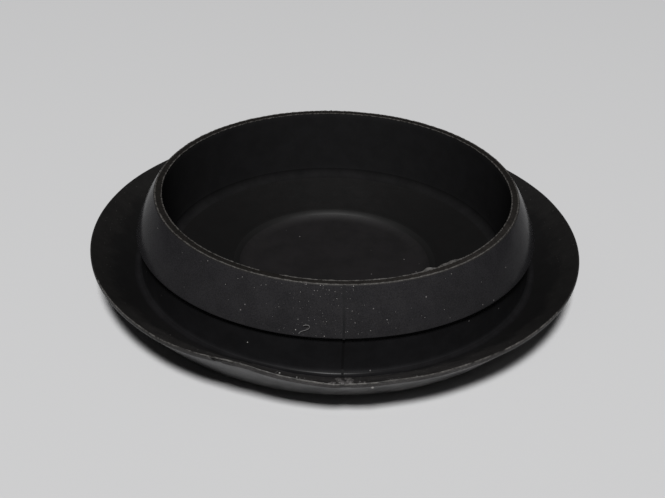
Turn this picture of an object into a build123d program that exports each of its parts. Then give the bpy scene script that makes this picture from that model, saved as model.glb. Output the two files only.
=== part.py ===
from build123d import *
from math import radians, tan
import os

# A one-piece moulded rubber body plug for a round hole in sheet metal.
#
# It lies on its closed face, with the snap-in collar upwards. The origin is the
# centre of that face, +Z is the axis, and every length is in millimetres.
# The plug is one section turned about its axis: a flat closed face, a thin dished
# lip that seals against the sheet, a neck that fills the hole, a barbed collar
# that snaps through it, and a cup inside the collar with a recessed centre.

# ---- driving dimensions ----------------------------------------------------

# Neck, sized for the hole in the sheet
HOLE_DIAMETER = 50.0        # the round hole that the plug closes
NECK_SQUEEZE = 0.65         # how much larger than the hole the neck is, on the radius
SHEET_GAP = 1.25            # free height between the lip's edge and the barb

# Closed face and sealing lip
ROOT_HEIGHT = 2.1           # lip's inner side at the neck, above the closed face
ROOT_RADIUS = 0.6           # fillet where the lip meets the neck
LIP_OVERHANG = 6.35         # how far the lip stands past the neck
LIP_RISE = 4.3              # how far its edge rises above its root
LIP_EDGE_THICKNESS = 0.5    # height of the upright edge
LIP_OUTER_ANGLE = 49.0      # slope of the outer side from the closed face, degrees
FACE_EDGE_RADIUS = 3.6      # round between the closed face and the outer side

# Snap-in collar
BARB_OVERHANG = 0.5         # how far the barb stands past the neck
LEAD_IN_HEIGHT = 5.65       # height of the lead-in above the barb's edge
LEAD_IN_WIDTH = 2.65        # how much the lead-in narrows, on the radius
LEAD_IN_BULGE = 0.3         # how far the lead-in bows outwards in the middle
LAND_WIDTH = 1.0            # flat ring on top of the collar

# Cup inside the collar
FLOOR_THICKNESS = 2.1       # closed wall under the cup, at the recess
FLOOR_RISE = 1.1            # how much the floor rises from the recess to the wall
CUP_CORNER_BEVEL = 0.35     # bevel between wall and floor
RECESS_DIAMETER = 25.6      # centre recess, across the middle of its sloping edge
RECESS_EDGE_WIDTH = 2.8     # width of that sloping edge
RECESS_DEPTH = 0.9          # how far the centre lies below the floor

# ---- radii and heights that follow -----------------------------------------

neck_radius = HOLE_DIAMETER / 2 + NECK_SQUEEZE
lip_radius = neck_radius + LIP_OVERHANG
barb_radius = neck_radius + BARB_OVERHANG
land_outer_radius = barb_radius - LEAD_IN_WIDTH
cup_radius = land_outer_radius - LAND_WIDTH

lip_edge_top = ROOT_HEIGHT + LIP_RISE
lip_edge_bottom = lip_edge_top - LIP_EDGE_THICKNESS
barb_height = lip_edge_top + SHEET_GAP
collar_height = barb_height + LEAD_IN_HEIGHT
recess_height = FLOOR_THICKNESS - RECESS_DEPTH
wall_foot_height = FLOOR_THICKNESS + FLOOR_RISE

# The outer side of the lip runs straight down to the closed face.
face_radius = lip_radius - lip_edge_bottom / tan(radians(LIP_OUTER_ANGLE))


def recess_edge():
    """Ends and middle of the sloping edge of the recess, from the centre outwards."""
    middle_radius = RECESS_DIAMETER / 2
    inner_end = (middle_radius - RECESS_EDGE_WIDTH / 2, recess_height)
    middle = (middle_radius, recess_height + RECESS_DEPTH / 2)
    outer_end = (middle_radius + RECESS_EDGE_WIDTH / 2, FLOOR_THICKNESS)
    return inner_end, middle, outer_end


def sharp_section():
    """Half section with sharp corners: X is the radius and Y the height."""
    recess_in, recess_middle, recess_out = recess_edge()
    barb_edge = (barb_radius, barb_height)
    land_outer = (land_outer_radius, collar_height)
    with BuildSketch() as section:
        with BuildLine():
            # Closed face, lip and neck
            Polyline(
                (0, recess_height),
                (0, 0),
                (face_radius, 0),
                (lip_radius, lip_edge_bottom),
                (lip_radius, lip_edge_top),
                (neck_radius, ROOT_HEIGHT),
                (neck_radius, barb_height),
                barb_edge,
            )
            # Collar, then the wall and floor of the cup
            SagittaArc(barb_edge, land_outer, -LEAD_IN_BULGE)
            Polyline(
                land_outer,
                (cup_radius, collar_height),
                (cup_radius, wall_foot_height),
                recess_out,
            )
            # Two equal arcs make the recess's edge, level at both ends
            TangentArc(recess_out, recess_middle, tangent=(-1, 0))
            TangentArc(recess_in, recess_middle, tangent=(1, 0))
            Line(recess_in, (0, recess_height))
        make_face()
    return section.sketch


def corner_of(section, position):
    """The corner of the section at a position."""
    return section.vertices().sort_by_distance(position)[0]


def finished_section():
    """Half section with its moulded rounds; edges at the mould's joints stay sharp."""
    section = sharp_section()
    section = fillet(corner_of(section, (face_radius, 0)), FACE_EDGE_RADIUS)
    section = fillet(corner_of(section, (neck_radius, ROOT_HEIGHT)), ROOT_RADIUS)
    return chamfer(corner_of(section, (cup_radius, wall_foot_height)), CUP_CORNER_BEVEL)


def body_plug():
    """The whole plug, its section turned once about the axis."""
    upright = Plane.XZ * finished_section()
    return revolve(upright, axis=Axis.Z)


os.makedirs("parts", exist_ok=True)
export_step(body_plug(), "parts/body_plug.step")
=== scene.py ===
"""Rubber body plug: moulded body, mould marks, dust and a plain studio."""

import logging
import math
import random
from collections.abc import Callable
from dataclasses import dataclass
from enum import Enum, auto

import bmesh
import bpy
from mathutils import Matrix, Vector


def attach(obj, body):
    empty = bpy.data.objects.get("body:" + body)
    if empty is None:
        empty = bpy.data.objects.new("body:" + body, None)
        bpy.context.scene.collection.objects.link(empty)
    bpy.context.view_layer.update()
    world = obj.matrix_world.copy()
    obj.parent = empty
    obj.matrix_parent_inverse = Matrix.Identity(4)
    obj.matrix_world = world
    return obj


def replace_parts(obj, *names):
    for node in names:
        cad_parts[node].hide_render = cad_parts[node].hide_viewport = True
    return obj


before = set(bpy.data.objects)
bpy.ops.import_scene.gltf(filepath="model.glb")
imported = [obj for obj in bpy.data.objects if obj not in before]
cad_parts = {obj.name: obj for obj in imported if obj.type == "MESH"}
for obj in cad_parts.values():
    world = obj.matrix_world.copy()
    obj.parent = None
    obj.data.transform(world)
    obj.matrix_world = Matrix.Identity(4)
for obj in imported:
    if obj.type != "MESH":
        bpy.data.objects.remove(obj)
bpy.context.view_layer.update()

LOG = logging.getLogger("body_plug")
MM = 0.001
NODE = "body_plug"
FULL_TURN = 360.0
FRONT_SEAM = 272.9  # bearing of the mould seam at the gate, degrees
BACK_SEAM = 92.9
LIT_SIDE = 268.0  # bearing of the side that faces the light
RUBBER_IOR = 1.5
SAME_SPOT = 0.001 * MM
MERGE = 0.0004 * MM
GROUND = 0.01 * MM  # an edge below this lies on the ground plane
LEAST_WEIGHT = 0.0005

Colour = tuple[float, float, float]
Point = tuple[float, float]
Piece = bpy.types.Object
Socket = bpy.types.NodeSocket
Texture = bpy.types.Texture
Rule = Callable[[Vector], float]


def around(radius: float, bearing: float, height: float) -> Vector:
    """A place in metres, by its radius and height in millimetres and its bearing in degrees from +X."""
    turn = math.radians(bearing)
    return Vector((radius * math.cos(turn), radius * math.sin(turn), height)) * MM


def radius_of(spot: Vector) -> float:
    """A place's distance from the axis in millimetres."""
    return math.hypot(spot.x, spot.y) / MM


def bearing_of(spot: Vector) -> float:
    """A place's bearing in degrees, from 0 to 360."""
    return math.degrees(math.atan2(spot.y, spot.x)) % FULL_TURN


def clamp(value: float) -> float:
    """A value held between 0 and 1."""
    return min(max(value, 0.0), 1.0)


def bell(offset: float, half_width: float) -> float:
    """A smooth hump, 1 in the middle and 0 from half_width outwards."""
    return math.cos(math.pi / 2 * min(abs(offset) / half_width, 1.0)) ** 2


def shade(colour: Colour, level: float) -> Colour:
    """A colour made darker or lighter by a factor."""
    return tuple(c * level for c in colour)


# ---- finishes


class Sheet:
    """A material's node tree, with a short call for each node it needs."""

    def __init__(self, name: str) -> None:
        """Start an empty material.

        Args:
            name: the material's name.
        """
        self.material = bpy.data.materials.new(name)
        self.material.use_nodes = True
        self.tree = self.material.node_tree
        self.tree.nodes.clear()
        self.place = self.add("ShaderNodeTexCoord").outputs["Object"]

    def add(self, kind: str, feeds: dict | None = None, **values: object) -> bpy.types.Node:
        """Add one node.

        Args:
            kind: the node's type name.
            feeds: an output socket or a value for each input, by its name or number.
            values: properties to set on it.

        Returns:
            The new node.
        """
        node = self.tree.nodes.new(kind)
        for key, value in values.items():
            setattr(node, key, value)
        for key, source in (feeds or {}).items():
            if isinstance(source, Socket):
                self.tree.links.new(source, node.inputs[key])
            else:
                node.inputs[key].default_value = source
        return node

    def noise(self, size: float, detail: float, rough: float) -> Socket:
        """Noise of about 0.3 to 0.7: patch width in metres, octaves, and the share each finer one keeps."""
        feeds = {"Vector": self.place, "Scale": 1.0 / size, "Detail": detail, "Roughness": rough}
        return self.add("ShaderNodeTexNoise", feeds).outputs["Fac"]

    def spread(
        self, source: object, low: float, high: float, to_low: float = 0.0, to_high: float = 1.0
    ) -> Socket:
        """Map low to to_low and high to to_high, held at both ends."""
        feeds = {"Value": source, "From Min": low, "From Max": high, "To Min": to_low, "To Max": to_high}
        return self.add("ShaderNodeMapRange", feeds, clamp=True).outputs["Result"]

    def combine(self, rule: str, first: object, second: object) -> Socket:
        """The result of one Math node, whose operation is the rule."""
        return self.add("ShaderNodeMath", {0: first, 1: second}, operation=rule).outputs[0]

    def times(self, first: object, second: object) -> Socket:
        """The product of two values."""
        return self.combine("MULTIPLY", first, second)

    def blend(self, share: object, first: object, second: object) -> Socket:
        """Mix two colours.

        Args:
            share: how much of the second.
            first: colour at 0.
            second: colour at 1.

        Returns:
            The mixed colour.
        """
        near, far = (c if isinstance(c, Socket) else (*c, 1.0) for c in (first, second))
        feeds = {"Factor": share, "A": near, "B": far}
        return self.add("ShaderNodeMix", feeds, data_type="RGBA").outputs["Result"]

    def specks(self, cell: float, share: float, radius: float) -> Socket:
        """Scattered round specks.

        Args:
            cell: mean distance between candidates in metres.
            share: share of the candidates that show.
            radius: speck radius as a share of the cell.

        Returns:
            1 inside a speck and 0 outside.
        """
        cells = self.add("ShaderNodeTexVoronoi", {"Vector": self.place, "Scale": 1.0 / cell}, feature="F1")
        chosen = self.add("ShaderNodeSeparateColor", {0: cells.outputs["Color"]}).outputs[0]
        core = radius * 0.6
        inside = self.spread(cells.outputs["Distance"], core, radius, to_low=1.0, to_high=0.0)
        return self.times(self.combine("LESS_THAN", chosen, share), inside)

    def vector(self, rule: str, *sources: object) -> bpy.types.Node:
        """The Vector Math node with this operation and these inputs."""
        return self.add("ShaderNodeVectorMath", dict(enumerate(sources)), operation=rule)

    def flat(self) -> Socket:
        """The place with its height left out."""
        return self.vector("MULTIPLY", self.place, (1.0, 1.0, 0.0)).outputs[0]

    def radius(self) -> Socket:
        """Distance from the axis in metres."""
        return self.vector("LENGTH", self.flat()).outputs["Value"]

    def toward(self, bearing: float) -> Socket:
        """How far a place round the axis lies towards one side.

        Args:
            bearing: the side, in degrees from +X.

        Returns:
            1 on that side, 0 square to it and -1 on the far side.
        """
        unit = self.vector("NORMALIZE", self.flat()).outputs[0]
        turn = math.radians(bearing)
        return self.vector("DOT_PRODUCT", unit, (math.cos(turn), math.sin(turn), 0.0)).outputs["Value"]

    def dust_and_painted_light(self, most: float, bearing: float) -> Socket:
        """Thin uneven dust, thickest on one side. On several finishes it is also painted light: a paler side
        that stands in for where light falls.

        Args:
            most: the largest share of the surface that it hides.
            bearing: its side, in degrees from +X.

        Returns:
            The share hidden.
        """
        patch_size, grain_size = 2.2 * MM, 0.16 * MM
        side = self.spread(self.toward(bearing), 0.55, 0.98, to_low=0.03)
        patches = self.spread(self.noise(patch_size, 3.0, 0.6), 0.36, 0.64, to_low=0.45)
        fine = self.spread(self.noise(grain_size, 2.0, 0.7), 0.40, 0.62, to_low=0.35)
        return self.times(self.times(side, patches), self.times(fine, most))

    def bump(self, height: object, depth: float, below: Socket | None = None) -> Socket:
        """Relief too fine to model.

        Args:
            height: relief from 0 to 1.
            depth: its full height in metres.
            below: the normal of another relief, to which it adds.

        Returns:
            The changed normal.
        """
        feeds = {"Strength": 1.0, "Distance": depth, "Height": height}
        if below is not None:
            feeds["Normal"] = below
        return self.add("ShaderNodeBump", feeds).outputs["Normal"]

    def close(self, **inputs: object) -> bpy.types.Material:
        """Finish with one Principled shader.

        Args:
            inputs: shader inputs by name, with _ for a space.

        Returns:
            The finished material.
        """
        feeds = {key.replace("_", " "): value for key, value in inputs.items()}
        shader = self.add("ShaderNodeBsdfPrincipled", feeds)
        self.add("ShaderNodeOutputMaterial", {"Surface": shader.outputs[0]})
        return self.material


@dataclass(frozen=True)
class RubberFinish:
    """Black moulded rubber, as one part of the mould left it."""

    name: str
    colour: Colour
    roughness: float
    specular: float
    uneven: float = 0.16  # share by which the colour drifts
    uneven_size: float = 2.5 * MM
    polish: float = 0.03  # how far the roughness drifts to either side
    grain: float = 0.003 * MM
    grain_size: float = 0.22 * MM
    ripple: float = 0.0
    ripple_size: float = 1.6 * MM
    fleck: float = 0.06  # share by which the colour varies from grain to grain
    fleck_size: float = 0.13 * MM
    fleck_gain: float = 3.0
    dust_and_painted_light: float = 0.0  # largest share hidden by thin dust and painted light, paler towards the side given next
    dust_and_painted_light_side: float = LIT_SIDE
    dust: float = 0.0  # share of speck sites that hold a grain
    dust_cell: float = 0.5 * MM
    dust_radius: float = 0.2  # of a speck, as a share of the cell
    dust_and_painted_light_colour: Colour = (0.084, 0.079, 0.079)
    dust_paler: float = 1.6  # how much paler a speck is than the film
    dust_roughness: float = 0.9

    def material(self) -> bpy.types.Material:
        """Build the finish from layered noise.

        Returns:
            The material.
        """
        sheet = Sheet(self.name)
        drift = sheet.noise(self.uneven_size, 4.0, 0.62)
        grain = sheet.noise(self.grain_size, 3.0, 0.6)
        flecks = sheet.spread(sheet.noise(self.fleck_size, 1.0, 0.5), 0.32, 0.68, -self.fleck, self.fleck)
        tone = sheet.combine("ADD", sheet.spread(drift, 0.35, 0.65), sheet.times(flecks, self.fleck_gain))
        colour = sheet.blend(tone, shade(self.colour, 1 - self.uneven), shade(self.colour, 1 + self.uneven))
        dull, bright = self.roughness + self.polish, self.roughness - self.polish
        roughness = sheet.spread(drift, 0.32, 0.68, dull, bright)
        if self.dust_and_painted_light:
            colour = sheet.blend(sheet.dust_and_painted_light(self.dust_and_painted_light, self.dust_and_painted_light_side), colour, self.dust_and_painted_light_colour)
        if self.dust:
            spots = sheet.specks(self.dust_cell, self.dust, self.dust_radius)
            colour = sheet.blend(spots, colour, shade(self.dust_and_painted_light_colour, self.dust_paler))
            roughness = sheet.combine("MAXIMUM", roughness, sheet.times(spots, self.dust_roughness))
        normal = sheet.bump(grain, self.grain)
        if self.ripple:
            normal = sheet.bump(sheet.noise(self.ripple_size, 2.0, 0.5), self.ripple, normal)
        return sheet.close(
            Base_Color=colour,
            Roughness=roughness,
            Specular_IOR_Level=self.specular,
            IOR=RUBBER_IOR,
            Normal=normal,
        )


@dataclass(frozen=True)
class LipFinish:
    """The lip's inner side: smooth near the neck, rough and dusty towards its edge, with a painted sheen on
    its lit front.
    """

    name: str
    inner_colour: Colour = (0.0058, 0.0056, 0.0057)
    outer_colour: Colour = (0.0064, 0.0060, 0.0058)
    drift_size: float = 1.8 * MM
    inner_roughness: float = 0.46
    outer_roughness: float = 0.56
    specular: float = 0.28
    border: float = 29.5 * MM  # radius where one surface gives way to the other
    border_half: float = 0.7 * MM
    ragged: float = 1.1 * MM
    ragged_size: float = 3.4 * MM
    front_reach: float = 2.6 * MM  # how much further in the dusty, lit front comes
    grain: float = 0.03 * MM
    grain_size: float = 0.19 * MM
    dust_and_painted_light: float = 0.54
    dust: float = 0.14
    dust_cell: float = 0.42 * MM
    dust_radius: float = 0.22
    dust_and_painted_light_colour: Colour = (0.072, 0.066, 0.065)
    dust_paler: float = 2.2

    def material(self) -> bpy.types.Material:
        """Build the two surfaces and the ragged border between them.

        Returns:
            The material.
        """
        sheet = Sheet(self.name)
        swell = sheet.spread(sheet.noise(self.ragged_size, 4.0, 0.7), 0.3, 0.7, -self.ragged, self.ragged)
        front = sheet.spread(sheet.toward(LIT_SIDE), 0.7, 0.97, to_high=self.front_reach)
        place = sheet.combine("ADD", sheet.combine("ADD", sheet.radius(), swell), front)
        share = sheet.spread(place, self.border - self.border_half, self.border + self.border_half)
        drift = sheet.spread(sheet.noise(self.drift_size, 4.0, 0.65), 0.34, 0.66)
        inner = sheet.blend(drift, shade(self.inner_colour, 0.85), self.inner_colour)
        outer = sheet.blend(drift, shade(self.outer_colour, 0.78), shade(self.outer_colour, 1.2))
        # The film, thickest on the lit front, is dust and a painted sheen of that front.
        dust_and_painted_light = sheet.times(sheet.dust_and_painted_light(self.dust_and_painted_light, LIT_SIDE), sheet.spread(share, 0.0, 1.0, to_low=0.25))
        colour = sheet.blend(dust_and_painted_light, sheet.blend(share, inner, outer), self.dust_and_painted_light_colour)
        dusty = sheet.times(share, sheet.spread(front, 0.0, self.front_reach, to_low=0.15))
        spots = sheet.times(sheet.specks(self.dust_cell, self.dust, self.dust_radius), dusty)
        colour = sheet.blend(spots, colour, shade(self.dust_and_painted_light_colour, self.dust_paler))
        grain = sheet.combine("SUBTRACT", sheet.noise(self.grain_size, 3.0, 0.68), 0.5)
        relief = sheet.times(grain, sheet.spread(share, 0.0, 1.0, to_low=0.15))
        return sheet.close(
            Base_Color=colour,
            Roughness=sheet.spread(share, 0.0, 1.0, self.inner_roughness, self.outer_roughness),
            Specular_IOR_Level=self.specular,
            IOR=RUBBER_IOR,
            Normal=sheet.bump(relief, self.grain),
        )


@dataclass(frozen=True)
class DustFinish:
    """Pale dust and fluff."""

    name: str
    colour: Colour
    patch_size: float = 0.9 * MM
    darkest: float = 0.55
    roughness: float = 0.95
    specular: float = 0.2

    def material(self) -> bpy.types.Material:
        """Build a dull, slightly mixed grey.

        Returns:
            The material.
        """
        sheet = Sheet(self.name)
        tone = sheet.spread(sheet.noise(self.patch_size, 2.0, 0.5), 0.35, 0.65)
        colour = sheet.blend(tone, shade(self.colour, self.darkest), self.colour)
        return sheet.close(Base_Color=colour, Roughness=self.roughness, Specular_IOR_Level=self.specular)


@dataclass(frozen=True)
class FloorFinish:
    """Plain pale studio floor, even and matt."""

    name: str
    colour: Colour
    roughness: float = 0.9

    def material(self) -> bpy.types.Material:
        """Build the material."""
        colour = (*self.colour, 1.0)
        return Sheet(self.name).close(Base_Color=colour, Roughness=self.roughness, Specular_IOR_Level=0.0)


class Zone(Enum):
    """The parts of the body that the mould left with different finishes."""

    CLOSED_FACE = auto()
    UNDERSIDE = auto()
    LIP_EDGE = auto()
    LIP = auto()
    ROOT = auto()
    NECK = auto()
    COLLAR = auto()
    LAND = auto()
    CUP_WALL = auto()
    CUP_CORNER = auto()
    CUP_FLOOR = auto()
    RECESS_EDGE = auto()
    RECESS = auto()


# In each: name, colour, roughness and specular level, and what differs from plain rubber.
FINISHES: dict[Zone, RubberFinish | LipFinish] = {
    Zone.CLOSED_FACE: RubberFinish("rubber_closed_face", (0.010, 0.0097, 0.010), 0.45, 0.3, dust=0.02),
    # Its pale film towards bearing 296 is a painted reflection of the lit floor, not dust.
    Zone.UNDERSIDE: RubberFinish(
        "rubber_lip_underside", (0.0035, 0.0035, 0.0038), 0.32, 0.14,
        ripple=0.008 * MM, dust_and_painted_light=1.0, dust_and_painted_light_side=296.0, dust_and_painted_light_colour=(0.155, 0.152, 0.152),
    ),
    # Its film towards bearing 284 is dust and a painted highlight on the lit front of the edge.
    Zone.LIP_EDGE: RubberFinish(
        "rubber_lip_edge", (0.017, 0.0162, 0.0156), 0.42, 0.14,
        uneven=0.3, uneven_size=0.7 * MM, grain=0.012 * MM, dust_and_painted_light=0.65, dust_and_painted_light_side=284.0,
    ),
    Zone.LIP: LipFinish("rubber_lip_inner_side"),
    Zone.ROOT: RubberFinish("rubber_lip_root", (0.0085, 0.0082, 0.0088), 0.30, 0.055, grain=0.001 * MM),
    Zone.NECK: RubberFinish("rubber_neck", (0.0100, 0.0098, 0.0106), 0.50, 0.12, grain=0.002 * MM, dust=0.01),
    Zone.COLLAR: RubberFinish(
        "rubber_collar", (0.0155, 0.0150, 0.0163), 0.18, 0.024,
        ripple=0.006 * MM, dust=0.04, dust_and_painted_light=0.12, fleck=0.34,
    ),
    Zone.LAND: RubberFinish(
        "rubber_land", (0.0062, 0.0052, 0.0044), 0.62, 0.25,
        uneven=0.55, uneven_size=0.35 * MM, grain=0.03 * MM, grain_size=0.16 * MM,
        dust_and_painted_light=0.20, dust_and_painted_light_side=306.0, dust_and_painted_light_colour=(0.088, 0.078, 0.072),
    ),
    # Its film towards bearing 180 is painted light, lightening the cup's left wall.
    Zone.CUP_WALL: RubberFinish(
        "rubber_cup_wall", (0.0096, 0.0094, 0.0100), 0.60, 0.20, dust_and_painted_light=0.05, dust_and_painted_light_side=180.0
    ),
    Zone.CUP_CORNER: RubberFinish("rubber_cup_corner", (0.0074, 0.0072, 0.0075), 0.80, 0.05),
    # Its film towards bearing 92 is painted light, lightening the back of the cup floor.
    Zone.CUP_FLOOR: RubberFinish(
        "rubber_cup_floor", (0.0046, 0.0044, 0.0044), 0.46, 0.30, dust_and_painted_light=0.05, dust_and_painted_light_side=92.0
    ),
    # Its film towards bearing 92 is painted light on the back of the recess edge.
    Zone.RECESS_EDGE: RubberFinish(
        "rubber_recess_edge", (0.0048, 0.0046, 0.0046), 0.45, 0.50, dust_and_painted_light=0.05, dust_and_painted_light_side=92.0
    ),
    Zone.RECESS: RubberFinish(
        "rubber_recess", (0.0081, 0.0073, 0.0077), 0.56, 0.3,
        uneven=0.25, uneven_size=3.2 * MM, grain=0.012 * MM, grain_size=0.3 * MM, dust=0.01,
    ),
}
FLASH_FINISH = RubberFinish(
    "rubber_flash", (0.050, 0.047, 0.044), 0.45, 0.35,
    uneven=0.75, uneven_size=0.4 * MM, grain=0.03 * MM,
    dust_and_painted_light=0.55, dust_and_painted_light_side=276.0, dust_and_painted_light_colour=(0.15, 0.145, 0.14),
)
# Flash on the lip's edge, coloured pale as a painted highlight of the rim's lit front.
RIM_FLASH_AND_HIGHLIGHT_FINISH = RubberFinish(
    "rubber_rim_flash", (0.058, 0.055, 0.052), 0.48, 0.22, uneven=0.8, uneven_size=0.9 * MM, grain=0.012 * MM
)
GATE_FINISH = RubberFinish(
    "rubber_gate_scar", (0.066, 0.062, 0.061), 0.46, 0.35, uneven=0.5, uneven_size=0.35 * MM, grain=0.03 * MM
)
NECK_SEAM_FINISH = RubberFinish("rubber_seam_neck", (0.0068, 0.0067, 0.0071), 0.55, 0.10)
COLLAR_SEAM_FINISH = RubberFinish("rubber_seam_collar", (0.0130, 0.0127, 0.0134), 0.50, 0.06, uneven=0.3)
# Paler than the rubber round it: a thin ridge at the root, coloured as a painted highlight where the light
# catches the root's front.
ROOT_RIDGE_AND_HIGHLIGHT_FINISH = RubberFinish("rubber_root_line", (0.026, 0.025, 0.026), 0.40, 0.25, uneven=0.4)
LINT_FINISH = DustFinish("lint", (0.20, 0.197, 0.195))
DUST_FINISH = DustFinish("dust", (0.30, 0.29, 0.28))


# ---- modelling calls that the pieces share


def clear() -> None:
    """Go to object mode and leave nothing selected."""
    if bpy.context.object and bpy.context.object.mode != "OBJECT":
        bpy.ops.object.mode_set(mode="OBJECT")
    bpy.ops.object.select_all(action="DESELECT")


def named(name: str) -> Piece:
    """The object that was added last, given its name."""
    piece = bpy.context.object
    piece.name = piece.data.name = name
    return piece


def select_mesh() -> None:
    """Select all of the mesh that is being edited."""
    bpy.ops.mesh.select_all(action="SELECT")


def take(piece: Piece) -> None:
    """Make a piece, in either mode, the one that the next calls work on."""
    clear()
    piece.select_set(True)
    bpy.context.view_layer.objects.active = piece


def draw(name: str, places: list[Point]) -> Piece:
    """Draw a section through points.

    Args:
        name: name of the new piece.
        places: radius and height of each point in millimetres.

    Returns:
        The section, in edit mode.
    """
    points = [(radius * MM, height * MM) for radius, height in places]
    clear()
    bpy.ops.mesh.primitive_plane_add(size=MM, location=(0, 0, 0))
    piece = named(name)
    bpy.ops.object.mode_set(mode="EDIT")
    bpy.ops.mesh.select_mode(type="VERT")
    select_mesh()
    bpy.ops.mesh.merge(type="CENTER")
    bpy.ops.transform.translate(value=(points[0][0], 0, points[0][1]))
    for here, there in zip(points, points[1:]):
        step = (there[0] - here[0], 0, there[1] - here[1])
        bpy.ops.mesh.extrude_vertices_move(TRANSFORM_OT_translate={"value": step})
    return piece


def pick(piece: Piece, kind: str, test: Callable[[object], bool]) -> int:
    """Select the vertices or edges that pass a test, in edit mode.

    Args:
        piece: the object being edited.
        kind: verts or edges.
        test: a function of one element.

    Returns:
        How many were selected.
    """
    bpy.ops.mesh.select_mode(type={"verts": "VERT", "edges": "EDGE"}[kind])
    bpy.ops.mesh.select_all(action="DESELECT")
    mesh = bmesh.from_edit_mesh(piece.data)
    found = [item for item in getattr(mesh, kind) if test(item)]
    for item in found:
        item.select_set(True)
    mesh.select_flush_mode()
    bmesh.update_edit_mesh(piece.data)
    return len(found)


def round_corner(piece: Piece, corner: Point, reach: float, steps: int) -> None:
    """Round one corner of a section.

    Args:
        piece: the section.
        corner: its radius and height in millimetres.
        reach: how far along its two sides the round starts, in millimetres.
        steps: straight pieces in the round.
    """
    spot = Vector((corner[0] * MM, 0, corner[1] * MM))
    pick(piece, "verts", lambda v: (v.co - spot).length < SAME_SPOT)
    bpy.ops.mesh.bevel(offset=reach * MM, offset_type="OFFSET", segments=steps, affect="VERTICES")


def even_out(piece: Piece, limit: float, flat_limit: float) -> None:
    """Divide the long straight runs of a section.

    Args:
        piece: the section.
        limit: longest step left on most runs, in millimetres.
        flat_limit: longest step left on the ground plane.
    """
    slack = 0.001

    def cuts_for(edge: bmesh.types.BMEdge) -> int:
        """How many cuts an edge needs."""
        longest = flat_limit if max(v.co.z for v in edge.verts) < GROUND else limit
        return math.ceil(edge.calc_length() / (longest * MM) - slack) - 1

    most = max(cuts_for(edge) for edge in bmesh.from_edit_mesh(piece.data).edges)
    for cuts in range(most, 0, -1):
        if pick(piece, "edges", lambda edge: cuts_for(edge) == cuts):
            bpy.ops.mesh.subdivide(number_cuts=cuts)


def sweep(piece: Piece, steps: int, degrees: float, angle: float) -> None:
    """Spin the section round the Z axis, close it and shade it smooth.

    Args:
        piece: the section, in edit mode.
        steps: steps in the sweep.
        degrees: how far it goes, negative for clockwise.
        angle: sharpest angle that is smoothed, in degrees.
    """
    select_mesh()
    bpy.ops.mesh.spin(steps=steps, angle=math.radians(degrees), center=(0, 0, 0), axis=(0, 0, 1))
    if abs(degrees) < FULL_TURN:
        select_mesh()
        bpy.ops.mesh.fill_holes(sides=0)
    seal()
    smooth(piece, angle)


def seal() -> None:
    """Merge doubles and turn all faces outwards."""
    select_mesh()
    bpy.ops.mesh.remove_doubles(threshold=MERGE)
    bpy.ops.mesh.normals_make_consistent(inside=False)


def smooth(piece: Piece, angle: float) -> None:
    """Leave edit mode and shade smooth up to an angle in degrees."""
    take(piece)
    bpy.ops.object.shade_smooth_by_angle(angle=math.radians(angle))


def displace(
    piece: Piece, group: str, distance: float, way: str, middle: float = 0.0, texture: Texture | None = None
) -> None:
    """Move a surface with an applied Displace modifier.

    Args:
        piece: the piece.
        group: vertex group that weighs the move, or nothing.
        distance: the full move in millimetres.
        way: its direction.
        middle: texture value that stays in place.
        texture: what makes the move uneven.
    """
    take(piece)
    change = piece.modifiers.new("displace", "DISPLACE")
    change.texture = texture
    change.texture_coords = "LOCAL"
    change.strength = distance * MM
    change.mid_level = middle
    change.direction = way
    change.vertex_group = group
    bpy.ops.object.modifier_apply(modifier=change.name)


def roughen(
    piece: Piece, size: float, depth: float, middle: float = 0.5, group: str = "", way: str = "NORMAL"
) -> None:
    """Make a surface uneven.

    Args:
        piece: the piece.
        size: width of one swell in millimetres.
        depth: full height of the swells in millimetres.
        middle: texture value that stays in place.
        group: vertex group that limits it.
        way: direction of the movement.
    """
    texture = bpy.data.textures.new(f"{piece.name}_{way.lower()}", "CLOUDS")
    texture.noise_scale = size * MM
    texture.noise_depth = 2
    displace(piece, group, depth, way, middle, texture)


def weigh(piece: Piece, name: str, rule: Rule) -> str:
    """Fill a new vertex group by a rule.

    Args:
        piece: the piece.
        name: the group's name.
        rule: a function of a vertex's place that gives 0 to 1.

    Returns:
        The name that the group got.
    """
    group = piece.vertex_groups.new(name=name)
    for vertex in piece.data.vertices:
        weight = rule(vertex.co)
        if weight > LEAST_WEIGHT:
            group.add([vertex.index], min(weight, 1.0), "REPLACE")
    return group.name


def ring(name: str, middle: Point, wide: float, high: float, corners: int) -> Piece:
    """Start a bead with its oval section, in edit mode. Sizes in millimetres.

    Args:
        name: name of the new piece.
        middle: radius and height of the section's middle.
        wide: its width.
        high: its height.
        corners: vertices round it.

    Returns:
        The new object.
    """
    clear()
    bpy.ops.mesh.primitive_circle_add(
        vertices=corners, radius=wide * MM / 2, location=(0, 0, 0), rotation=(math.pi / 2, 0, 0)
    )
    piece = named(name)
    bpy.ops.object.transform_apply(location=False, rotation=True, scale=False)
    bpy.ops.object.mode_set(mode="EDIT")
    bpy.ops.mesh.select_mode(type="VERT")
    select_mesh()
    bpy.ops.transform.resize(value=(1, 1, high / wide))
    bpy.ops.transform.translate(value=(middle[0] * MM, 0, middle[1] * MM))
    return piece


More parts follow.
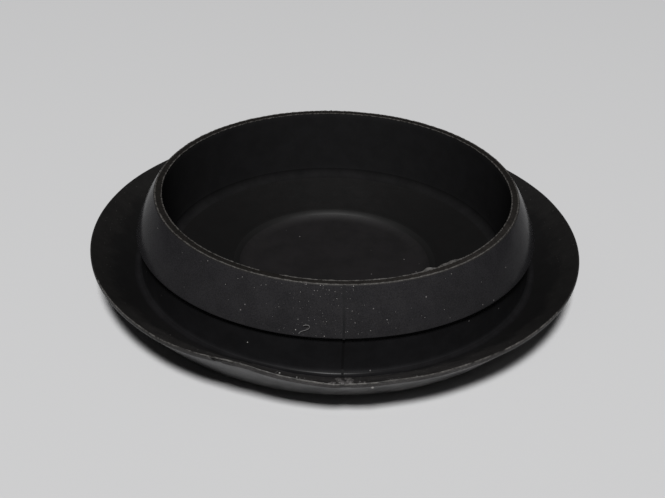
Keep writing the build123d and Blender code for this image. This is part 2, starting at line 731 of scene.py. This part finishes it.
def balls(name: str, detail: int, places: list[tuple[Vector, tuple, tuple]], angle: float) -> Piece:
    """Set small balls as one piece and shade it smooth.

    Args:
        name: name of the new piece.
        detail: how finely each ball is divided.
        places: each ball's place in metres, turn and half sizes in millimetres.
        angle: sharpest angle that is smoothed, in degrees.

    Returns:
        The new object.
    """
    clear()
    for spot, turn, size in places:
        bpy.ops.mesh.primitive_ico_sphere_add(
            subdivisions=detail, radius=MM, location=spot, rotation=turn, scale=size
        )
        if bpy.context.object.mode == "OBJECT":
            bpy.ops.object.transform_apply(location=True, rotation=True, scale=True)
            bpy.ops.object.mode_set(mode="EDIT")
    piece = named(name)
    smooth(piece, angle)
    return piece


def face_bearing(piece: Piece, bearing: float) -> None:
    """Turn a piece about the Z axis and apply the turn.

    Args:
        piece: the piece.
        bearing: the angle in degrees.
    """
    take(piece)
    piece.rotation_euler = (0, 0, math.radians(bearing))
    bpy.ops.object.transform_apply(location=True, rotation=True, scale=True)


def settle(piece: Piece, finishes: list[bpy.types.Material]) -> Piece:
    """Put a finished piece on the frame.

    Args:
        piece: the piece, at the origin.
        finishes: its materials.

    Returns:
        The piece.
    """
    clear()
    for finish in finishes:
        piece.data.materials.append(finish)
    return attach(piece, "root")


# ---- the plug


@dataclass(frozen=True)
class Swell:
    """One place where an edge stands higher or lower than true. Degrees and millimetres."""

    bearing: float
    half_width: float
    lift: float

    def weight(self, bearing: float) -> float:
        """How much of the lift a bearing takes, 0 to 1."""
        return bell(bearing - self.bearing, self.half_width)


@dataclass(frozen=True)
class LipWave:
    """How the soft lip waves round its edge. Sizes in millimetres and degrees."""

    root: float = 25.65
    edge: float = 32.0
    hinge: float = 0.85  # width of the soft bend next to the root
    hinge_share: float = 0.3  # share of the lift that it takes
    dent_size: float = 14.0
    dent_depth: float = 0.20
    swells: tuple[Swell, ...] = (
        Swell(252.0, 12.0, 0.60),
        Swell(244.0, 14.0, 0.34),
        Swell(269.5, 8.0, -0.34),
        Swell(276.0, 9.0, -0.34),
        Swell(287.0, 14.0, -0.20),
    )

    def at(self, bearing: float) -> float:
        """The edge's lift at one bearing, in millimetres."""
        return sum(swell.lift * swell.weight(bearing) for swell in self.swells)

    def reach(self, radius: float) -> float:
        """The share of the lift that a radius takes.

        Args:
            radius: distance from the axis in millimetres.

        Returns:
            0 at the root and 1 at the edge.
        """
        first = clamp((radius - self.root) / self.hinge)
        rest = clamp((radius - self.root - self.hinge) / (self.edge - self.root - self.hinge))
        return self.hinge_share * first * first * (3 - 2 * first) + (1 - self.hinge_share) * rest

    def share(self, spot: Vector) -> float:
        """The share of the lift that a place on the lip's inner side takes."""
        return self.reach(radius_of(spot))

    def bend(self, piece: Piece, share: Rule) -> None:
        """Wave a finished piece with the lip.

        Args:
            piece: the piece, in object mode.
            share: the share of the wave that a vertex takes.
        """
        for swell in self.swells:
            group = weigh(piece, "swell", lambda v, s=swell: share(v) * s.weight(bearing_of(v)))
            displace(piece, group, swell.lift, "Z")
        roughen(piece, self.dent_size, self.dent_depth, 1.0, weigh(piece, "lip", share), "Z")


@dataclass
class PlugBody:
    """The moulded body, turned from its half section. Sizes in millimetres."""

    lip_radius: float = 32.0
    lip_edge_top: float = 6.4
    lip_edge_bottom: float = 5.9
    face_radius: float = 26.87
    neck_radius: float = 25.65
    neck_foot: float = 2.1
    neck_top: float = 7.65
    barb_radius: float = 26.15
    land_outer: float = 23.5
    cup_radius: float = 22.5
    height: float = 13.22
    bulge: float = 0.22
    wall_foot: float = 3.2
    floor_height: float = 2.1
    recess_outer: float = 14.2
    recess_inner: float = 11.4
    recess_height: float = 1.2
    face_round: float = 1.64
    lip_bottom_round: float = 0.12
    lip_top_round: float = 0.20
    root_round: float = 1.13
    barb_foot_round: float = 0.16
    barb_round: float = 0.13
    land_round: float = 0.10
    cup_bevel: float = 1.0
    longest_step: float = 0.75
    longest_flat_step: float = 3.2
    steps: int = 480
    lip_start: float = 0.93  # off the neck, where the lip's own finish starts
    root_start: float = 0.12
    corner_reach: float = 1.2  # how far the finish of an inner corner goes
    tear_reach: float = 1.2
    tear_depth: float = 0.14
    unevenness: Point = (5.0, 0.05)  # size and depth
    wave: LipWave = LipWave()

    def lead_in(self, count: int) -> list[Point]:
        """Points up the bulged outside of the collar, barb first.

        Args:
            count: number of equal steps.

        Returns:
            Radius and height of each point in millimetres, ends included.
        """
        foot = Vector((self.barb_radius, self.neck_top))
        top = Vector((self.land_outer, self.height))
        chord = top - foot
        side = Vector((chord.y, -chord.x)).normalized()
        radius = (chord.length / 2) ** 2 / (2 * self.bulge) + self.bulge / 2
        centre = (foot + top) / 2 - side * (radius - self.bulge)
        half = math.asin(chord.length / 2 / radius)
        way = chord.normalized()
        points = []
        for k in range(count + 1):
            turn = -half + 2 * half * k / count
            spot = centre + side * (radius * math.cos(turn)) + way * (radius * math.sin(turn))
            points.append((spot.x, spot.y))
        return points

    def recess_edge(self, count: int) -> list[Point]:
        """Points down the soft edge of the round recess in the cup floor.

        Args:
            count: number of equal steps.

        Returns:
            Radius and height of each point in millimetres, ends included.
        """
        points = []
        for k in range(count + 1):
            share = k / count
            drop = 2 * share * share if share < 0.5 else 1 - 2 * (1 - share) ** 2
            radius = self.recess_outer + (self.recess_inner - self.recess_outer) * share
            points.append((radius, self.floor_height + (self.recess_height - self.floor_height) * drop))
        return points

    def lip_height(self, radius: float) -> float:
        """Height of the lip's inner side at a radius, in millimetres, before the wave."""
        slope = (self.lip_edge_top - self.neck_foot) / (self.lip_radius - self.neck_radius)
        return self.neck_foot + slope * (radius - self.neck_radius)

    def collar_spot(self, bearing: float, share: float) -> Vector:
        """A place on the collar's outside, where a share of 0 is the barb and 1 the land."""
        radius, height = self.lead_in(40)[round(share * 40)]
        return around(radius, bearing, height)

    def lip_spot(self, bearing: float, share: float) -> Vector:
        """A place on the lip's inner side, sunk in a little.

        Args:
            bearing: degrees from +X.
            share: 0 at the root's round, 1 near the edge.

        Returns:
            The place in metres.
        """
        inset, margins, sunk = 1.2, 1.5, 0.06
        radius = self.neck_radius + inset + share * (self.lip_radius - self.neck_radius - margins)
        lift = self.wave.at(bearing) * self.wave.reach(radius)
        return around(radius, bearing, self.lip_height(radius) - sunk + lift)

    def section(self) -> Piece:
        """Draw and round the half section.

        Returns:
            The section, in edit mode.
        """
        corners = [
            (0.0, 0.0),
            (self.face_radius, 0.0),
            (self.lip_radius, self.lip_edge_bottom),
            (self.lip_radius, self.lip_edge_top),
            (self.neck_radius, self.neck_foot),
            (self.neck_radius, self.neck_top),
            *self.lead_in(22),
            (self.cup_radius, self.height),
            (self.cup_radius, self.wall_foot),
            *self.recess_edge(18),
            (0.0, self.recess_height),
        ]
        rounds = [
            (self.face_radius, 0.0, self.face_round, 12),
            (self.lip_radius, self.lip_edge_bottom, self.lip_bottom_round, 4),
            (self.lip_radius, self.lip_edge_top, self.lip_top_round, 5),
            (self.neck_radius, self.neck_foot, self.root_round, 14),
            (self.neck_radius, self.neck_top, self.barb_foot_round, 3),
            (self.barb_radius, self.neck_top, self.barb_round, 4),
            (self.land_outer, self.height, self.land_round, 3),
            (self.cup_radius, self.height, self.land_round, 3),
            (self.cup_radius, self.wall_foot, self.cup_bevel, 10),
        ]
        piece = draw(NODE + "_rubber", corners)
        for radius, height, reach, steps in rounds:
            round_corner(piece, (radius, height), reach, steps)
        even_out(piece, self.longest_step, self.longest_flat_step)
        return piece

    def lip_share(self, spot: Vector) -> float:
        """The share of the lip's wave that a vertex of the body takes.

        Args:
            spot: the vertex's place.

        Returns:
            0 on the collar and the closed face, 1 on the lip's edge.
        """
        radius, height = radius_of(spot), spot.z / MM
        if height > self.lip_edge_top + 0.05 or radius < self.neck_radius - 0.01:
            return 0.0
        over = height - self.lip_height(radius)
        if over > self.corner_reach:
            return 0.0
        if over > -0.06:
            return self.wave.reach(radius)
        return clamp((radius - self.face_radius) / (self.lip_radius - self.face_radius)) ** 1.4

    def torn_share(self, spot: Vector) -> float:
        """How much a vertex is pulled where the gate was torn off the lip's edge.

        Args:
            spot: the vertex's place.

        Returns:
            1 at the gate and 0 from tear_reach outwards.
        """
        gate = around(self.lip_radius, FRONT_SEAM, self.lip_edge_top)
        away = math.hypot(spot.x - gate.x, spot.y - gate.y) / MM
        return bell(away, self.tear_reach) if 5.2 * MM < spot.z < 7 * MM else 0.0

    def upper_share(self, spot: Vector) -> float:
        """How far a vertex belongs to the neck, collar and cup, 0 to 1."""
        return clamp((spot.z / MM - 2.5) / 2) * (1 - self.lip_share(spot))

    def zone_of(self, centre: Vector, normal: Vector) -> Zone:
        """Name the zone that a face belongs to.

        Args:
            centre: the face's middle, before the lip is waved.
            normal: its normal.

        Returns:
            The zone.
        """
        near, touching = 0.1, 0.01
        radius, height = radius_of(centre), centre.z / MM
        outward = (normal.x * centre.x + normal.y * centre.y) / max(radius * MM, 1e-9)
        if height < 0.02 and normal.z < -0.9:
            return Zone.CLOSED_FACE
        if radius > self.lip_radius - self.lip_top_round and height > self.lip_edge_bottom - 0.03:
            return Zone.LIP_EDGE
        if radius > 26 and height < self.lip_edge_top and outward > 0.2 and normal.z < 0:
            return Zone.UNDERSIDE
        if radius > self.neck_radius + self.lip_start and normal.z > 0 and height < self.lip_edge_top:
            return Zone.LIP
        if radius > self.neck_radius + self.root_start and height < self.neck_foot + self.corner_reach:
            return Zone.ROOT
        if radius > self.neck_radius - touching and height < self.neck_top + touching:
            return Zone.NECK
        if height > self.height - near and normal.z > 0.6:
            return Zone.LAND
        if outward > 0 and height > self.neck_top and radius > self.land_outer - near:
            return Zone.COLLAR
        if radius < (self.recess_inner + self.recess_outer) / 2:
            return Zone.RECESS
        if height < self.floor_height - near:
            return Zone.RECESS_EDGE
        if radius > self.cup_radius - self.corner_reach and height < self.wall_foot + self.corner_reach:
            return Zone.CUP_CORNER
        return Zone.CUP_FLOOR if normal.z > 0.7 else Zone.CUP_WALL

    def build(self) -> Piece:
        """Turn the section, dress its zones, wave its lip and make it slightly uneven.

        Returns:
            The body.
        """
        piece = self.section()
        sweep(piece, self.steps, FULL_TURN, angle=28)
        zones = list(Zone)
        settle(piece, [FINISHES[zone].material() for zone in zones])
        for face in piece.data.polygons:
            face.material_index = zones.index(self.zone_of(face.center, face.normal))
        displace(piece, weigh(piece, "torn", self.torn_share), self.tear_depth, "Y")
        upper = weigh(piece, "upper", self.upper_share)
        self.wave.bend(piece, self.lip_share)
        roughen(piece, *self.unevenness, 1.0, upper)
        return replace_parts(piece, NODE)


@dataclass
class MouldSeam:
    """A thin raised line where two parts of the mould met. Sizes in millimetres."""

    body: PlugBody
    bearing: float
    width: float = 0.27
    proud: float = 0.03  # on each side of the rubber's surface
    lip_run: Point = (31.4, 26.9)  # radii between which it follows the lip
    foot: tuple[Point, ...] = ((26.35, 2.78), (25.95, 2.78), (25.7, 3.1), (25.67, 3.6))  # over the root
    lip_top: float = 6.6  # above this it doesn't wave with the lip
    step: float = 0.5
    ragged: Point = (0.5, 0.06)  # size and depth

    def build(self) -> Piece:
        """Draw the line over lip, neck and collar and give it thickness.

        Returns:
            The seam.
        """
        body = self.body
        path = [(radius, body.lip_height(radius)) for radius in self.lip_run]
        path += [*self.foot, (body.neck_radius, body.neck_top - 0.12), (26.0, body.neck_top - 0.04)]
        piece = draw(f"{NODE}_seam_{round(self.bearing)}", path + body.lead_in(16))
        even_out(piece, self.step, self.step)
        select_mesh()
        bpy.ops.mesh.extrude_region_move(TRANSFORM_OT_translate={"value": (0, self.width * MM, 0)})
        select_mesh()
        bpy.ops.transform.translate(value=(0, -self.width / 2 * MM, 0))
        bpy.ops.mesh.normals_make_consistent(inside=False)
        bpy.ops.object.mode_set(mode="OBJECT")
        change = piece.modifiers.new("thickness", "SOLIDIFY")
        change.thickness = 2 * self.proud * MM
        change.offset = 0.0
        bpy.ops.object.modifier_apply(modifier=change.name)
        face_bearing(piece, self.bearing)
        body.wave.bend(piece, lambda v: body.wave.share(v) if v.z < self.lip_top * MM else 0.0)
        roughen(piece, *self.ragged, way="X")
        settle(piece, [NECK_SEAM_FINISH.material(), COLLAR_SEAM_FINISH.material()])
        for face in piece.data.polygons:
            face.material_index = 1 if face.center.z > body.neck_top * MM else 0
        return piece


@dataclass
class Fin:
    """A thin ragged line of flash round an edge. Sizes in millimetres and degrees."""

    name: str
    radius: float
    height: float
    wide: float
    high: float
    finish: RubberFinish
    steps: int
    ragged: Point  # size and depth
    start: float = 0.0
    sweep: float = FULL_TURN
    sunk: tuple[Swell, ...] = ()
    wave: LipWave | None = None
    corners: int = 6
    fine: Point = (0.3, 0.05)  # size and depth of the finer unevenness

    def build(self) -> Piece:
        """Sweep the line, let it dip in places and close its ends.

        Returns:
            The fin.
        """
        piece = ring(self.name, (self.radius, self.height), self.wide, self.high, self.corners)
        sweep(piece, self.steps, -self.sweep, angle=60)
        face_bearing(piece, self.start)
        for dip in self.sunk:
            group = weigh(piece, "dip", lambda v, d=dip: d.weight(bearing_of(v)))
            displace(piece, group, dip.lift, "Z")
        if self.wave:
            self.wave.bend(piece, self.wave.share)
        roughen(piece, *self.ragged, 1.0, way="Z")
        roughen(piece, *self.fine, 0.6)
        return settle(piece, [self.finish.material()])


@dataclass
class FlashTear:
    """A strip of flash torn half off the land's inner edge. Sizes in millimetres and degrees."""

    radius: float = 22.5
    height: float = 13.12
    wide: float = 0.12
    high: float = 0.26
    corners: int = 8
    bearing: float = 302.5
    sweep: float = 19.0
    steps: int = 60
    lean: float = 0.36
    lift: float = 0.06
    ragged: Point = (0.7, 0.05)  # size and depth
    humps: tuple[Swell, ...] = (Swell(-3.7, 2.6, 1.0), Swell(1.6, 2.6, 0.6), Swell(5.0, 3.2, 0.75))

    def lean_share(self, spot: Vector) -> float:
        """How far a vertex leans in: the upper half of a hump most.

        Args:
            spot: its place, before the strip is turned to its bearing.

        Returns:
            0 to 1.
        """
        bearing = math.degrees(math.atan2(spot.y, spot.x))
        upper = clamp((spot.z / MM - self.height) / (self.high / 2) + 0.5)
        return upper * sum(hump.lift * hump.weight(bearing) for hump in self.humps)

    def build(self) -> Piece:
        """Sweep a thin strip and lean its humps into the cup.

        Returns:
            The strip.
        """
        piece = ring(NODE + "_flash_tear", (self.radius, self.height), self.wide, self.high, self.corners)
        select_mesh()
        start = math.radians(-self.sweep / 2)
        bpy.ops.transform.rotate(value=start, orient_axis="Z", center_override=(0, 0, 0))
        sweep(piece, self.steps, self.sweep, angle=60)
        group = weigh(piece, "lean", self.lean_share)
        displace(piece, group, -self.lean, "X")
        displace(piece, group, self.lift, "Z")
        roughen(piece, *self.ragged, 1.0, way="Z")
        face_bearing(piece, self.bearing)
        return settle(piece, [FLASH_FINISH.material()])


@dataclass(frozen=True)
class Lump:
    """One torn lump: degrees from the gate, radius, height over the lip and half sizes in millimetres."""

    offset: float
    radius: float
    over: float
    along: float
    across: float
    tall: float


@dataclass
class GateScar:
    """Torn rubber where the gate was pulled off the lip's edge."""

    body: PlugBody
    lean: float = math.radians(-34)
    tears: tuple[Point, ...] = ((0.30, 0.34), (0.11, 0.12))  # size and depth of each layer
    tear_middle: float = 0.62
    lumps: tuple[Lump, ...] = (
        Lump(-1.15, 28.2, 0.16, 0.46, 0.80, 0.34),
        Lump(-0.95, 29.5, 0.18, 0.44, 0.90, 0.36),
        Lump(-0.75, 30.7, 0.10, 0.48, 0.75, 0.34),
        Lump(0.95, 28.4, 0.16, 0.50, 0.85, 0.36),
        Lump(1.15, 29.7, 0.18, 0.50, 0.90, 0.38),
        Lump(0.85, 30.9, 0.10, 0.52, 0.70, 0.34),
        Lump(0.05, 31.4, -0.06, 0.80, 0.34, 0.32),
        Lump(-2.55, 31.35, 0.02, 0.32, 0.32, 0.24),
        Lump(-3.15, 31.55, 0.00, 0.20, 0.26, 0.18),
        Lump(-2.10, 31.10, 0.02, 0.22, 0.32, 0.20),
        Lump(3.20, 30.6, 0.03, 0.18, 0.42, 0.20),
        Lump(3.90, 31.2, 0.02, 0.15, 0.32, 0.17),
        Lump(-4.60, 31.72, 0.02, 0.14, 0.18, 0.11),
    )

    def build(self) -> Piece:
        """Set the lumps on the edge, tear them with noise and wave them with the lip.

        Returns:
            The scar.
        """
        places = []
        for lump in self.lumps:
            bearing = FRONT_SEAM + lump.offset
            spot = around(lump.radius, bearing, self.body.lip_height(lump.radius) + lump.over)
            turn = (self.lean, 0, math.radians(bearing + 90))
            places.append((spot, turn, (lump.along, lump.across, lump.tall)))
        piece = balls(NODE + "_gate_scar", 4, places, angle=50)
        for size, depth in self.tears:
            roughen(piece, size, depth, self.tear_middle)
        self.body.wave.bend(piece, lambda v: 1.0)
        return settle(piece, [GATE_FINISH.material()])


@dataclass(frozen=True)
class Grain:
    """One listed grain: degrees from +X, share of the way out or up, half size in millimetres."""

    bearing: float
    share: float
    size: float


@dataclass(frozen=True)
class Drift:
    """Where and how big seeded grains fall: their number, bearing and size."""

    count: int
    bearing: float
    stray: float  # spread of the bearing
    size: float  # usual half size in millimetres
    size_stray: float


@dataclass
class Dust:
    """Dust grains on the front of the collar and the lip."""

    body: PlugBody
    seed: int = 7
    near_seam: Drift = Drift(84, 266.5, 5.5, 0.033, 0.34)
    elsewhere: Drift = Drift(46, 274.0, 17.0, 0.033, 0.34)
    on_lip: Drift = Drift(34, LIT_SIDE, 16.0, 0.034, 0.30)
    collar_grains: tuple[Grain, ...] = (
        Grain(275.4, 0.985, 0.085),
        Grain(262.5, 0.97, 0.06),
        Grain(266.4, 0.975, 0.055),
        Grain(279.6, 0.16, 0.05),
        Grain(273.8, 0.14, 0.045),
        Grain(261.2, 0.66, 0.05),
        Grain(232.0, 0.93, 0.075),
        Grain(206.0, 0.80, 0.045),
    )
    lip_grains: tuple[Grain, ...] = (
        Grain(258.9, 0.58, 0.11),
        Grain(262.9, 0.72, 0.10),
        Grain(287.6, 0.93, 0.08),
        Grain(268.6, 1.0, 0.07),
        Grain(276.2, 0.55, 0.055),
    )
    # On the lip's edge and on the neck: radius, bearing, height and half size
    other_grains: tuple[tuple[float, ...], ...] = ((31.98, 278.2, 5.38, 0.19), (25.70, 247.8, 5.1, 0.08))

    def spots(self, chance: random.Random) -> list[tuple[Vector, float]]:
        """Choose where the grains lie.

        Args:
            chance: the seeded source of chance.

        Returns:
            Each grain's place in metres and half size in millimetres.
        """
        body = self.body
        spots = [(body.collar_spot(grain.bearing, grain.share), grain.size) for grain in self.collar_grains]
        spots += [(body.lip_spot(grain.bearing, grain.share), grain.size) for grain in self.lip_grains]
        spots += [(around(*place), size) for *place, size in self.other_grains]
        for drift in (self.near_seam, self.elsewhere, self.on_lip):
            for _ in range(drift.count):
                bearing = chance.gauss(drift.bearing, drift.stray)
                if drift is self.on_lip:
                    place = body.lip_spot(bearing, chance.betavariate(2.2, 1.2))
                else:
                    place = body.collar_spot(bearing, chance.uniform(0.04, 0.98))
                spots.append((place, chance.lognormvariate(math.log(drift.size), drift.size_stray)))
        return spots

    def build(self) -> Piece:
        """Scatter the grains as one piece.

        Returns:
            The grains.
        """
        chance = random.Random(self.seed)
        places = []
        for spot, wide in self.spots(chance):
            size = (wide * chance.uniform(0.7, 1.6), wide, wide * chance.uniform(0.5, 0.9))
            turn = tuple(chance.uniform(0, math.tau) for _ in range(3))
            places.append((spot, turn, size))
        piece = balls("dust_grains", 1, places, angle=80)
        return settle(piece, [DUST_FINISH.material()])


@dataclass
class Lint:
    """A short curled fibre stuck to the foot of the collar. Sizes in millimetres and degrees."""

    body: PlugBody
    bearing: float = 263.5
    share: float = 0.04  # of the way from the barb to the land
    thick: float = 0.030
    gap: float = 0.05
    lean: float = 0.18  # how far it leans in as it rises
    curl: tuple[Point, ...] = ((-0.80, 0.10), (-0.55, 0.80), (0.75, 0.25), (0.75, 1.70), (-0.35, 1.10))

    def build(self) -> Piece:
        """Bend the fibre and turn it into a closed mesh.

        Returns:
            The fibre.
        """
        clear()
        bpy.ops.curve.primitive_nurbs_path_add(location=(0, 0, 0))
        fibre = bpy.context.object
        foot = self.body.collar_spot(self.bearing, self.share)
        turn = math.radians(self.bearing)
        side = Vector((-math.sin(turn), math.cos(turn), 0))
        out = Vector((math.cos(turn), math.sin(turn), 0))
        for point, (across, up) in zip(fibre.data.splines[0].points, self.curl):
            spot = foot + (side * across + Vector((0, 0, up)) + out * (self.gap - self.lean * up)) * MM
            point.co = (*spot, 1.0)
        fibre.data.bevel_depth = self.thick * MM
        fibre.data.bevel_resolution = 2
        fibre.data.use_fill_caps = True
        fibre.data.resolution_u = 8
        bpy.ops.object.convert(target="MESH")
        piece = named("lint_curl")
        bpy.ops.object.mode_set(mode="EDIT")
        seal()
        smooth(piece, angle=60)
        return settle(piece, [LINT_FINISH.material()])


# ---- studio


@dataclass
class Studio:
    """Pale floor, soft light and the camera. Sizes in metres and degrees."""

    floor_size: float = 6.0
    floor_gap: float = 0.01 * MM
    floor_colour: Colour = (0.60, 0.60, 0.605)
    world_level: float = 0.03
    key_distance: float = 2.0
    key_size: float = 0.34
    key_bearing: float = LIT_SIDE
    key_height: float = 58.8
    key_power: float = 45.0
    aim: tuple[float, float, float] = (-0.31 * MM, -4.68 * MM, 6.4 * MM)
    distance: float = 142.27 * MM
    elevation: float = 31.383
    bearing: float = 0.145  # off straight in front
    roll: float = 1.76
    lens: float = 59.549
    clip_start: float = 0.005

    def floor(self) -> None:
        """Lay the floor just under the plug."""
        clear()
        bpy.ops.mesh.primitive_plane_add(size=self.floor_size, location=(0, 0, -self.floor_gap))
        sheet = named("studio_floor")
        bpy.ops.object.transform_apply(location=True, rotation=False, scale=False)
        sheet.data.materials.append(FloorFinish("floor_pale", self.floor_colour).material())

    def lights(self) -> None:
        """Set a dim world and one softbox in front of the plug."""
        world = bpy.data.worlds.new("studio_world")
        bpy.context.scene.world = world
        world.use_nodes = True
        background = world.node_tree.nodes["Background"]
        background.inputs["Color"].default_value = (1.0, 1.0, 1.0, 1.0)
        background.inputs["Strength"].default_value = self.world_level
        turn, lift = math.radians(self.key_bearing), math.radians(self.key_height)
        way = Vector((math.cos(lift) * math.cos(turn), math.cos(lift) * math.sin(turn), math.sin(lift)))
        clear()
        bpy.ops.object.light_add(type="AREA", location=way * self.key_distance)
        lamp = bpy.context.object
        lamp.name = "softbox_key"
        lamp.data.shape = "SQUARE"
        lamp.data.size = self.key_size
        lamp.data.energy = self.key_power
        lamp.rotation_euler = (-way).to_track_quat("-Z", "Y").to_euler()

    def camera(self) -> None:
        """Set the camera in front of the plug, looking down at it."""
        clear()
        lift, turn = math.radians(self.elevation), math.radians(self.bearing)
        back = Vector((math.sin(turn) * math.cos(lift), -math.cos(turn) * math.cos(lift), math.sin(lift)))
        bpy.ops.object.camera_add(location=Vector(self.aim) + back * self.distance)
        eye = bpy.context.object
        eye.name = "camera"
        look = (-back).to_track_quat("-Z", "Y").to_matrix().to_4x4()
        tilt = Matrix.Rotation(math.radians(self.roll), 4, "Z")
        eye.rotation_euler = (look @ tilt).to_euler()
        eye.data.lens = self.lens
        eye.data.clip_start = self.clip_start
        bpy.context.scene.camera = eye

    def build(self) -> None:
        """Set up the whole studio."""
        self.floor()
        self.lights()
        self.camera()
        bpy.context.scene.view_settings.view_transform = "Standard"


def main() -> None:
    """Build every piece in order."""
    logging.basicConfig(level=logging.INFO, format="%(name)s: %(message)s")
    plug = PlugBody()
    wave = plug.wave
    dip = (Swell(251.0, 4.0, -0.2),)
    builders = [
        plug,
        MouldSeam(plug, FRONT_SEAM),
        MouldSeam(plug, BACK_SEAM),
        Fin(NODE + "_flash_inner", 22.59, 13.24, 0.20, 0.16, FLASH_FINISH, 960, (0.4, 0.17), sunk=dip),
        Fin(NODE + "_flash_outer", 23.38, 13.24, 0.21, 0.16, FLASH_FINISH, 960, (0.45, 0.14)),
        # A painted highlight on a thin ridge along the front of the root, where the light catches it.
        Fin(
            NODE + "_root_line", 26.6, 2.75, 0.13, 0.08, ROOT_RIDGE_AND_HIGHLIGHT_FINISH, 160, (1.4, 0.05),
            start=250.0, sweep=38.0, wave=wave,
        ),
        # Ragged flash along the front half of the rim, pale as a painted highlight where the light falls on
        # it.
        Fin(
            NODE + "_flash_rim", 31.90, 6.37, 0.19, 0.24, RIM_FLASH_AND_HIGHLIGHT_FINISH, 420, (0.9, 0.10),
            start=205.0, sweep=122.0, wave=wave,
        ),
        FlashTear(),
        GateScar(plug),
        Dust(plug),
        Lint(plug),
    ]
    for builder in builders:
        piece = builder.build()
        LOG.info("%s: %d faces", piece.name, len(piece.data.polygons))
    Studio().build()
    LOG.info("studio ready")


if __name__ == "__main__":
    main()
